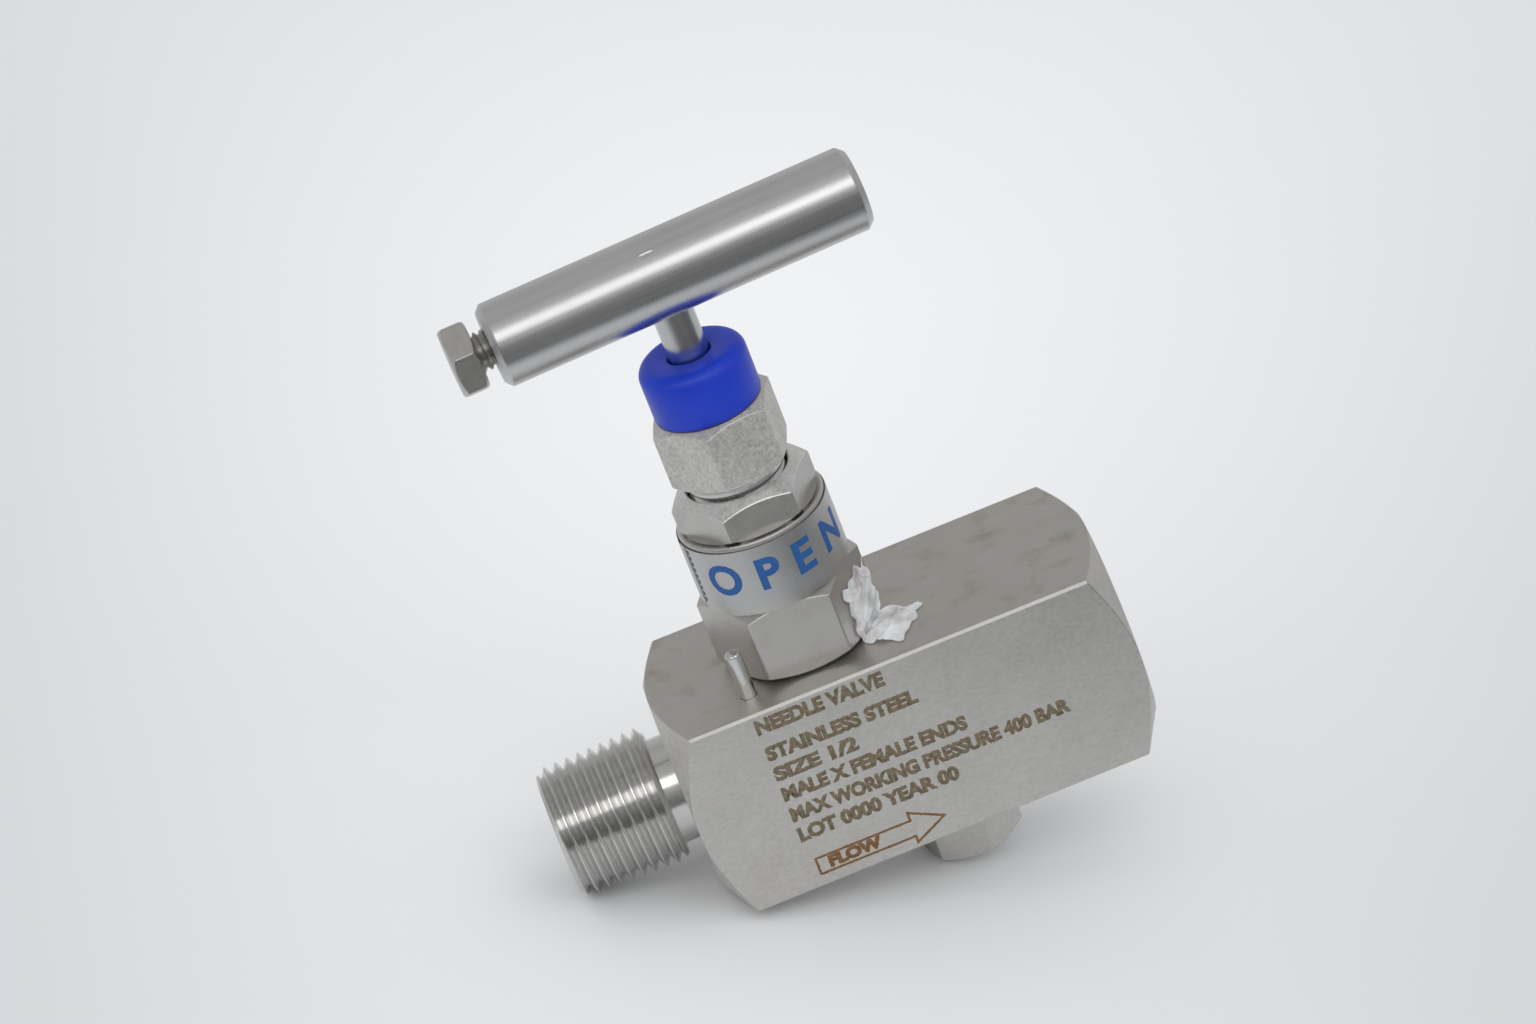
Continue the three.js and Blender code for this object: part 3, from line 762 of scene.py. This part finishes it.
def gland_nut():
    angles, rings = hexagon(17, 74.5, 85, 15.7, 8.0, 8.0)
    shank = millimetres([(5.9, 64.2), (6.8, 64.2), (6.8, 72.6), (7.3, 72.85), (7.5, 73.3), (7.5, 73.8)])
    shank += millimetres([(7.3, 74.2), (6.9, 74.5)])
    hub = millimetres([(7.05, 85), (6.9, 85.2), (6.9, 91.3), (6.5, 91.7), (3.6, 91.7), (3.35, 91.45)])
    bore = millimetres([(3.35, 66.9), (5.6, 66.9), (5.6, 64.4)])
    made = ringed("gland_nut", angles, shank + rings + hub + bore, hollow=True)
    made.data.materials.append(blasted_steel)
    polish(made, 72, 77)
    return made


def lock_nut():
    angles, rings = hexagon(19, 67.2, 72.7, 5, 10.5, 8.15)
    bore = millimetres([(8.05, 72.7), (7.8, 72.45), (7.8, 67.5), (8.1, 67.2)])
    made = ringed("lock_nut", angles, rings + bore, hollow=True)
    made.data.materials.append(nut_steel)
    polish(made, 69, 73)
    return made


gland_thread = thread(
    "gland_thread", Matrix.Translation((0, 0, 64.2 * MM)), bright_steel, length=8.6 * MM, pitch=1.5 * MM,
    radius=7.5 * MM, taper=0.0, depth=0.85 * MM, chamfer=0.6 * MM, end_chamfer=0.7 * MM, bore=6.5 * MM,
    around=80, steps=12,
)
settle(gland_nut(), "valve_body", "nut_steel", "gland_nut")
settle(gland_thread, "valve_body", "nut_steel")
settle(lock_nut(), "valve_body", "nut_steel", "lock_nut")


# ---------------- dust cap
# A moulded blue polyethylene cap snaps over the gland nut's hub. It is semi-gloss, with a rounded
# top edge, a clearance hole for the stem, and the faint ripple of a cheap moulding.
def moulded_blue(name):
    material, shader, start = painted(name, Specular_IOR_Level=0.4)
    place = start.place()
    cloud = place.texture(160.0, 4.0)
    fine = place.texture(2200.0, 3.0)
    tone = (cloud * 1.6 - 0.3).clipped().between((0.002, 0.026, 0.44, 1), (0.004, 0.044, 0.56, 1))
    normal = (cloud + fine * 0.1).bump(6e-5)
    feed(shader, {"Base Color": tone, "Roughness": cloud * 0.15 + fine * 0.1 + 0.26, "Normal": normal})
    return material


cap_blue = moulded_blue("blue_polyethylene")


def cap_profile():
    """Wall, rounded shoulder, roof with a hole, and the hollow inside, in millimetres."""
    outer, top, edge = 8.15, 93.8, 2.0
    profile = [(outer - 0.95, 85.3), (outer - 0.1, 85.3), (outer, 85.5)]
    for step in range(13):
        angle = math.pi / 2 * step / 12
        profile.append((outer - edge * (1 - math.cos(angle)), top - edge * (1 - math.sin(angle))))
    profile += [(3.7, top), (3.4, top - 0.12), (3.22, top - 0.45), (3.22, top - 1.6)]
    profile.append((outer - 0.95, top - 1.6))
    return profile


cap = turned("dust_cap", cap_profile(), cap_blue, 128, ease=0.0)
cap.data.set_sharp_from_angle(angle=math.radians(40))
settle(cap, "valve_body", "cap_blue", "dust_cap")


# ---------------- stem and needle
# The stem is turned and polished. Its operating thread runs in the bonnet, and its foot is bored
# for the needle, a separate hard tip that doesn't turn as it meets the seat.
stem_steel = steel(
    "polished_stem", (0.76, 0.755, 0.75, 1), (0.64, 0.635, 0.63, 1), 0.22, 1800, (1, 1, 0.05),
    depth=1e-6, stain=0.1, dust=0.1,
)
stem_profile = [
    (2.1, 29.2), (3.6, 29.2), (3.6, 36.7), (3.9, 36.7), (3.9, 48.9), (3.05, 49.7), (3.05, 109.2),
    (2.6, 109.7), (0.2, 109.7), (0.2, 33.2), (2.1, 33.2),
]
stem = turned("stem", stem_profile, stem_steel, 72, ease=0.08)
stem_thread = thread(
    "stem_thread", Matrix.Translation((0, 0, 36.7 * MM)), bright_steel, length=13 * MM, pitch=1.25 * MM,
    radius=4.5 * MM, taper=0.0, depth=0.75 * MM, chamfer=0.7 * MM, end_chamfer=0.7 * MM, bore=3.4 * MM,
    around=64, steps=12,
)
needle_profile = [
    (0.1, 23.6), (1.11, 23.6), (3.2, 27.23), (3.2, 28.9), (1.8, 28.9), (1.8, 32.7), (1.6, 32.9), (0.1, 32.9),
]
needle = turned("needle_tip", needle_profile, bright_steel, 64, ease=0.06, hollow=False)
settle(stem, "spindle", "turned_steel", "stem")
settle(stem_thread, "spindle", "turned_steel")
settle(needle, "needle", "nut_steel", "needle_tip")


# ---------------- handle bar
# The tee bar is plain round bar, faced and chamfered, cross-drilled for the stem and tapped from
# one end. It is satin from being polished in the lathe, with a small knock over the stem.
HANDLE_TURN = math.radians(4.4)
HANDLE_Z = 107 * MM
KNOCK_HEIGHT = math.radians(34)
KNOCK_X = -0.8 * MM
KNOCK_OUT = 7.12 * MM
KNOCK_SIZE = (2.4 * MM, 0.8 * MM, 0.9 * MM)
ON_HANDLE = Matrix.Translation((0, 0, HANDLE_Z)) @ Matrix.Rotation(HANDLE_TURN, 4, "Z")
ON_HANDLE = ON_HANDLE @ Matrix.Rotation(math.pi / 2, 4, "Y")
bar_steel = steel(
    "satin_handle", (0.74, 0.745, 0.75, 1), (0.62, 0.625, 0.63, 1), 0.3, 1800, (0.02, 1, 1),
    turn=-HANDLE_TURN, depth=1e-6, stain=0.1, dust=0.1,
)


def knock():
    """A shallow dent in the bar, above the front, cut with a long thin ball."""
    angles = np.linspace(-math.pi / 2, math.pi / 2, 15)[1:-1]
    ball = ringed("knock", circle(32), [(math.cos(angle), math.sin(angle)) for angle in angles])
    outward = Matrix.Translation((KNOCK_X, 0, 0)) @ Matrix.Rotation(KNOCK_HEIGHT, 4, "X")
    stretch = Matrix.Diagonal((*KNOCK_SIZE, 1))
    at_bar = Matrix.Translation((0, 0, HANDLE_Z)) @ Matrix.Rotation(HANDLE_TURN, 4, "Z")
    ball.data.transform(at_bar @ outward @ Matrix.Translation((0, 0, KNOCK_OUT)) @ stretch)
    return ball


def handle_bar():
    profile = [(5.35, -26), (6.35, -25.1), (6.35, 30.3), (5.45, 31.3)]
    bar = turned("handle_bar", profile, bar_steel, 128, ON_HANDLE, 0.1, False)
    tools = [
        ringed("bolt_hole", circle(48), millimetres([(3.3, -27), (3.3, 0)]), place=ON_HANDLE),
        ringed("bolt_mouth", circle(48), millimetres([(3.9, -26.3), (3.2, -25.4)]), place=ON_HANDLE),
        ringed("stem_hole", circle(48), millimetres([(3.35, 99.2), (3.35, 110)])),
    ]
    for tool in tools:
        tool.data.materials.append(bright_steel)
    dent = knock()
    dent.data.materials.append(bar_steel)
    return cut(bar, [*tools, dent])


settle(handle_bar(), "spindle", "turned_steel", "handle_bar")


# ---------------- handle bolt
# A hexagon-headed M6 bolt is run in along the bar until it bites on the stem, and stands a couple
# of millimetres proud, so that its thread shows.
def bolt_head():
    angles, rings = hexagon(10, -32.1, -28.1, 1.4, 4.75, 4.75)
    made = ringed("handle_bolt", angles, rings, place=ON_HANDLE)
    made.data.materials.append(nut_steel)
    return made


bolt_thread = thread(
    "bolt_thread", ON_HANDLE @ Matrix.Translation((0, 0, -28.3 * MM)), nut_steel, length=24.9 * MM,
    pitch=1.0 * MM, radius=3.0 * MM, taper=0.0, depth=0.6 * MM, chamfer=0.0, end_chamfer=0.6 * MM, bore=0.0,
    around=48, steps=10,
)
settle(bolt_head(), "spindle", "nut_steel", "handle_bolt")
settle(bolt_thread, "spindle", "nut_steel")


# ---------------- vent plug
# A hexagon-headed plug closes the tapped vent port under the body.
PLUG_PLACE = Matrix.Translation((VENT_X, 0, 0))


def plug_head():
    angles, rings = hexagon(14.2, 0, 10.7, -16.2, 6.75, 6.75)
    made = ringed("vent_plug", angles, rings, place=PLUG_PLACE)
    made.data.materials.append(satin_steel)
    return made


plug_thread = thread(
    "vent_plug_thread", PLUG_PLACE @ Matrix.Translation((0, 0, 10.5 * MM)), bright_steel, length=9.9 * MM,
    pitch=25.4 / 18 * MM, radius=6.4 * MM, taper=TAPER, depth=1.0 * MM, chamfer=0.2 * MM,
    end_chamfer=0.8 * MM, bore=0.0, around=64, steps=12,
)
settle(plug_head(), "valve_body", "body_steel", "vent_plug")
settle(plug_thread, "valve_body", "body_steel")


# ---------------- label band
# A strip of printed silver foil is wrapped round the bonnet's land and lapped on the inlet side.
# Its words are generic, printed in blue.
LABEL_LOW, LABEL_HIGH = 56.4 * MM, 66.2 * MM
LABEL_R = 11.42 * MM
FOIL = 0.12 * MM
LAP = math.radians(9)
LABEL_START = math.radians(-172)
# Painted shade: a dotted black line beside the lap stands in for the shadow at the label's edge.
LAP_SHADE_ANGLE = math.radians(-161)
LAP_SHADE_MARKS = 9
LAP_SHADE_PITCH = 1.03 * MM
LAP_SHADE_TALL = 0.62 * MM
LAP_SHADE_WIDE = math.radians(2.2)
INK = 0.03 * MM
LETTER_HEIGHT = 4.9 * MM
LETTER_BOLD = 0.22 * MM
LETTER_SPACING = 1.65


def printed_foil(name):
    material, shader, start = painted(name, Metallic=1.0)
    place = start.place()
    drawn = start.node("ShaderNodeMapping", {}, {"Vector": place, "Scale": (1, 1, 0.15)})
    fine = drawn.texture(1800.0, 4.0)
    cloud = place.texture(130.0, 4.0)
    tone = (cloud * 0.8 + fine * 0.5 - 0.15).clipped().between((0.52, 0.52, 0.52, 1), (0.71, 0.71, 0.705, 1))
    normal = (cloud + fine * 0.12).bump(5e-5)
    feed(shader, {"Base Color": tone, "Roughness": fine * 0.2 + cloud * 0.1 + 0.22, "Normal": normal})
    return material


def label_band():
    steps = 160
    points, faces = [], []
    for step in range(steps + 1):
        angle = LABEL_START + (2 * math.pi + LAP) * step / steps
        lift = 0.13 * MM * min(max((step / steps - 0.955) / 0.02, 0), 1)
        for radius, height in ((0, LABEL_LOW), (FOIL, LABEL_LOW), (FOIL, LABEL_HIGH), (0, LABEL_HIGH)):
            reach = LABEL_R + lift + radius
            points.append((reach * math.cos(angle), reach * math.sin(angle), height))
    for step in range(steps):
        a, b = step * 4, step * 4 + 4
        faces += [(a + i, a + (i + 1) % 4, b + (i + 1) % 4, b + i) for i in range(4)]
    faces += [(3, 2, 1, 0), tuple(steps * 4 + i for i in range(4))]
    mesh = sheet_of("label_band", points, faces)
    tidy(mesh)
    mesh.materials.append(printed_foil("label_foil"))
    return link("label_band", mesh)


def lettering(name, words, height, bold, depth, spacing=1.0):
    """Words as a thin closed mesh lying in XY, centred on the origin."""
    text = bpy.data.curves.new(name, "FONT")
    text.body = words
    text.size = height * 1.43
    text.offset = bold
    text.space_character = spacing
    text.extrude = depth / 2
    text.align_x, text.align_y = "CENTER", "CENTER"
    text.resolution_u = 4
    thing = link(name, text)
    graph = bpy.context.evaluated_depsgraph_get()
    mesh = bpy.data.meshes.new_from_object(thing.evaluated_get(graph))
    bpy.data.objects.remove(thing)
    return mesh


def printed_ink_and_painted_shade(name, light, dark):
    material, shader, start = painted(name)
    place = start.place()
    cloud = place.texture(900.0, 4.0)
    normal = cloud.bump(1e-5)
    feed(shader, {"Base Color": cloud.between(dark, light), "Roughness": cloud * 0.3 + 0.3, "Normal": normal})
    return material


def wrapped_words(words, middle, ink):
    """Prints words round the label, reading upright, centred on an angle."""
    name = "label_" + words.lower()
    mesh = lettering(name, words, LETTER_HEIGHT, LETTER_BOLD, INK, LETTER_SPACING)
    work = bmesh.new()
    work.from_mesh(mesh)
    for slice_x in np.arange(-14, 14, 0.6) * MM:
        parts = work.verts[:] + work.edges[:] + work.faces[:]
        bmesh.ops.bisect_plane(work, geom=parts, plane_co=(slice_x, 0, 0), plane_no=(1, 0, 0))
    radius = LABEL_R + FOIL + 0.012 * MM
    for point in work.verts:
        angle = middle + point.co.x / radius
        reach = radius + point.co.z
        height = (LABEL_LOW + LABEL_HIGH) / 2 + point.co.y
        point.co = (reach * math.cos(angle), reach * math.sin(angle), height)
    work.to_mesh(mesh)
    work.free()
    tidy(mesh, 1e-8)
    mesh.materials.clear()
    mesh.materials.append(ink)
    settle(link(name, mesh), "valve_body", "label_foil")


def painted_lap_shade():
    """A row of small black marks beside the lap: painted shade along the label's lapped edge."""
    points, faces = [], []
    for mark in range(LAP_SHADE_MARKS):
        for reach in (LABEL_R + FOIL, LABEL_R + FOIL + INK):
            for step, up in ((0, 0), (1, 0), (1, 1), (0, 1)):
                angle = LAP_SHADE_ANGLE + step * LAP_SHADE_WIDE
                height = LABEL_LOW + 0.5 * MM + mark * LAP_SHADE_PITCH + up * LAP_SHADE_TALL
                points.append((reach * math.cos(angle), reach * math.sin(angle), height))
        a = mark * 8
        faces += [(a + 3, a + 2, a + 1, a), (a + 4, a + 5, a + 6, a + 7)]
        faces += [(a + i, a + (i + 1) % 4, a + (i + 1) % 4 + 4, a + i + 4) for i in range(4)]
    mesh = sheet_of("label_painted_lap_shade", points, faces)
    tidy(mesh, 1e-8)
    # Near-black colour for the painted shade beside the lap.
    mesh.materials.append(printed_ink_and_painted_shade("painted_shade_black", (0.03, 0.03, 0.032, 1), (0.012, 0.012, 0.012, 1)))
    settle(link("label_painted_lap_shade", mesh), "valve_body", "label_foil")


settle(label_band(), "valve_body", "label_foil", "label_band")
label_ink = printed_ink_and_painted_shade("blue_ink", (0.010, 0.105, 0.34, 1), (0.005, 0.06, 0.24, 1))
wrapped_words("OPEN", math.radians(-82), label_ink)
wrapped_words("SHUT", math.radians(98), label_ink)
painted_lap_shade()


# ---------------- tamper seal
# A strip of clear shrink film is stuck on one flat of the bonnet and crumpled out over the body,
# to show whether the bonnet has been turned.
SEAL_TURN = math.radians(-32)
SEAL_OUT = 11.12 * MM
SEAL_FOOT = body_high.z + 0.1 * MM


def clear_film(name):
    material, shader, start = painted(name, Specular_IOR_Level=0.8)
    place = start.place()
    bend = place.texture(180.0, 2.0)
    bent = start.node("ShaderNodeVectorMath", {"operation": "ADD"}, {0: place, 1: bend * 0.004})
    fold = start.node("ShaderNodeTexVoronoi", {"feature": "F1"}, {"Vector": bent, "Scale": 330.0})
    cloud = place.texture(200.0, 3.0)
    hue = bent.texture(260.0, 1.0)
    tint = (hue * 3 - 1).clipped().between((0.80, 0.93, 0.95, 1), (0.97, 0.86, 0.92, 1))
    tone = (cloud * 1.4 - 0.2).clipped().between(tint, (1.0, 1.0, 1.0, 1))
    normal = (fold * 0.8 + cloud * 0.5).bump(1.1e-4)
    alpha = ((cloud * 3 - 1.1).clipped() * 0.45 + fold * 0.35 + 0.08).clipped()
    feed(shader, {"Base Color": tone, "Roughness": cloud * 0.16 + 0.03, "Normal": normal, "Alpha": alpha})
    return material


def tamper_seal():
    """A creased strip: down the flat, round the foot, and out over the body's top."""
    wide, long = 44, 76
    out = Vector((math.cos(SEAL_TURN), math.sin(SEAL_TURN), 0))
    along = Vector((-out.y, out.x, 0))
    rise, flap, width, shift = 9.3, 6.6, 9.0, 1.4
    points, faces = [], []
    for row in range(long + 1):
        travel = row / long * (rise + flap)
        for column in range(wide + 1):
            side = (column / wide - 0.5) * width
            seed = Vector((side, travel, 0))
            crease = 0.75 - abs(noise.noise(seed * 0.32)) * 2.2 - abs(noise.noise(seed * 0.8)) * 0.6
            sway = noise.noise(Vector((travel * 0.5, side * 0.2, 9))) * 1.1
            end = noise.noise(Vector((side * 0.5, 3, 5))) * 1.2
            if travel < rise:
                reach = 0.15 + max(crease, 0) * 0.5
                height = max(rise - travel + end * max(1 - travel / 3, 0), 0) - 0.07
            else:
                reach = travel - rise + 0.2 + end * max((travel - rise) / flap - 0.5, 0)
                height = 0.05 + max(crease, 0) * (0.8 if travel < rise + 3.5 else 0.35)
            spot = out * (SEAL_OUT + reach * MM) + along * (side + sway + shift) * MM
            points.append((spot.x, spot.y, SEAL_FOOT + max(height, 0.03) * MM))
    for row in range(long):
        for column in range(wide):
            a = row * (wide + 1) + column
            faces.append((a, a + 1, a + wide + 2, a + wide + 1))
    mesh = sheet_of("tamper_seal", points, faces)
    mesh.shade_smooth()
    mesh.materials.append(clear_film("clear_film"))
    film = link("tamper_seal", mesh)
    return finished(film, [("SOLIDIFY", {"thickness": 0.05 * MM, "offset": 0.0})])


settle(tamper_seal(), "valve_body", "seal_film", "tamper_seal")


# ---------------- body marking
# The front of the body is marked with rows of small burnt dots: what the valve is, in generic
# words, and an arrow for the direction of flow.
MARK_Y = -BAR_HALF
INTO_FRONT = Matrix.Rotation(math.pi / 2, 4, "X")


def burnt(name, light, dark):
    material, shader, start = painted(name, Metallic=0.35)
    place = start.place()
    cloud = place.texture(1500.0, 3.0)
    tone = (cloud * 1.8 - 0.4).clipped().between(dark, light)
    feed(shader, {"Base Color": tone, "Roughness": cloud * 0.3 + 0.4})
    return material


def dot_tree():
    """Geometry Nodes: covers flat areas with small low dots, spaced evenly and sized at random."""
    lengths = {"Spacing": 0.0002, "Dot": 0.0001, "Height": 2e-5}
    start, size = new_tree("burnt_dots", lengths, {"Seed": 4}, takes_mesh=True)
    scatter_inputs = {
        "Mesh": size["Geometry"], "Distance Min": size["Spacing"], "Density Max": 9e7, "Seed": size["Seed"],
    }
    spread = {"distribute_method": "POISSON"}
    scatter = start.node("GeometryNodeDistributePointsOnFaces", spread, scatter_inputs)
    cone_inputs = {"Vertices": 6, "Radius Top": size["Dot"] * 0.7, "Radius Bottom": size["Dot"]}
    cone = start.node("GeometryNodeMeshCone", {}, {**cone_inputs, "Depth": size["Height"]}, "Mesh")
    scale_inputs = {2: 0.7, 3: 1.35, "Seed": size["Seed"]}
    scale = start.node("FunctionNodeRandomValue", {"data_type": "FLOAT"}, scale_inputs, 1)
    dot_inputs = {"Points": scatter, "Instance": cone, "Scale": scale}
    dots = start.node("GeometryNodeInstanceOnPoints", {}, dot_inputs)
    return hand_out(dots, size["Material"])


def arrow_band(width):
    """The outline of an arrow as a closed band of faces, in millimetres of the front face."""
    tail, neck, tip = -10.5, 4.6, 10.2
    low, high, middle, wing = 13.1, 16.3, 14.85, 3
    outer = [(tail, low), (neck, low), (neck, middle - wing), (tip, middle)]
    outer += [(neck, middle + wing), (neck, high), (tail, high)]
    points, faces = [], []
    for index, here in enumerate(outer):
        before, after = Vector(outer[index - 1]), Vector(outer[(index + 1) % len(outer)])
        here = Vector(here)
        one, two = (here - before).normalized(), (after - here).normalized()
        inward = Vector((-one.y - two.y, one.x + two.x)).normalized()
        miter = width / max(inward.dot(Vector((-one.y, one.x))), 0.35)
        points += [(*(here * MM), 0), (*((here + inward * miter) * MM), 0)]
    count = len(points)
    for start in range(0, count, 2):
        faces.append((start, (start + 2) % count, (start + 3) % count, start + 1))
    return sheet_of("arrow", points, faces)


def line_of_words(words, left, base, right, height):
    """Words on the front face, fitted between two ends, in millimetres."""
    mesh = lettering("words", words, height * MM, 0.17 * MM, 0.0)
    xs = [point.co.x for point in mesh.vertices]
    low_y = min(point.co.y for point in mesh.vertices)
    fit = (right - left) * MM / (max(xs) - min(xs))
    mesh.transform(Matrix.Diagonal((fit, 1, 1, 1)))
    mesh.transform(Matrix.Translation((left * MM - min(xs) * fit, base * MM - low_y, 0)))
    return mesh


burnt_dots = dot_tree()


def burn(name, shapes, spacing, dot, finish):
    """Burns flat shapes on the front face: a thin skin, and dots that make its edges ragged."""
    work = bmesh.new()
    for shape in shapes:
        work.from_mesh(shape)
    sheet = bpy.data.meshes.new(name)
    work.to_mesh(sheet)
    work.free()
    skin = link(name + "_skin", sheet.copy())
    skin = finished(skin, [("SOLIDIFY", {"thickness": 0.02 * MM, "offset": 0.0})])
    skin.data.materials.append(finish)
    dots = link(name + "_dots", sheet)
    values = {"Spacing": spacing * MM, "Dot": dot * MM, "Height": 0.02 * MM, "Seed": 4, "Material": finish}
    grown(dots, burnt_dots, values)
    for made in (skin, dots):
        made.data.transform(Matrix.Translation((0, MARK_Y, 0)) @ INTO_FRONT)
        settle(made, "valve_body", "body_steel")


rows = [
    ("NEEDLE VALVE", -11.3, 39.4, 8.7, 2.3),
    ("STAINLESS STEEL", -11.3, 34.6, 12.4, 2.2),
    ("SIZE 1/2", -11.3, 30.9, 1.8, 2.2),
    ("MALE X FEMALE ENDS", -11.3, 27.2, 17.8, 2.2),
    ("MAX WORKING PRESSURE 400 BAR", -11.3, 23.4, 32.9, 2.2),
    ("LOT 0000 YEAR 00", -11.3, 19.7, 14.1, 2.2),
]
olive = burnt("burnt_olive", (0.30, 0.245, 0.16, 1), (0.10, 0.078, 0.046, 1))
amber = burnt("burnt_amber", (0.33, 0.17, 0.055, 1), (0.13, 0.065, 0.025, 1))
burn("marking_words", [line_of_words(*row) for row in rows], 0.19, 0.12, olive)
burn("marking_arrow", [arrow_band(0.36), line_of_words("FLOW", -8.6, 13.75, -0.2, 1.8)], 0.15, 0.10, amber)
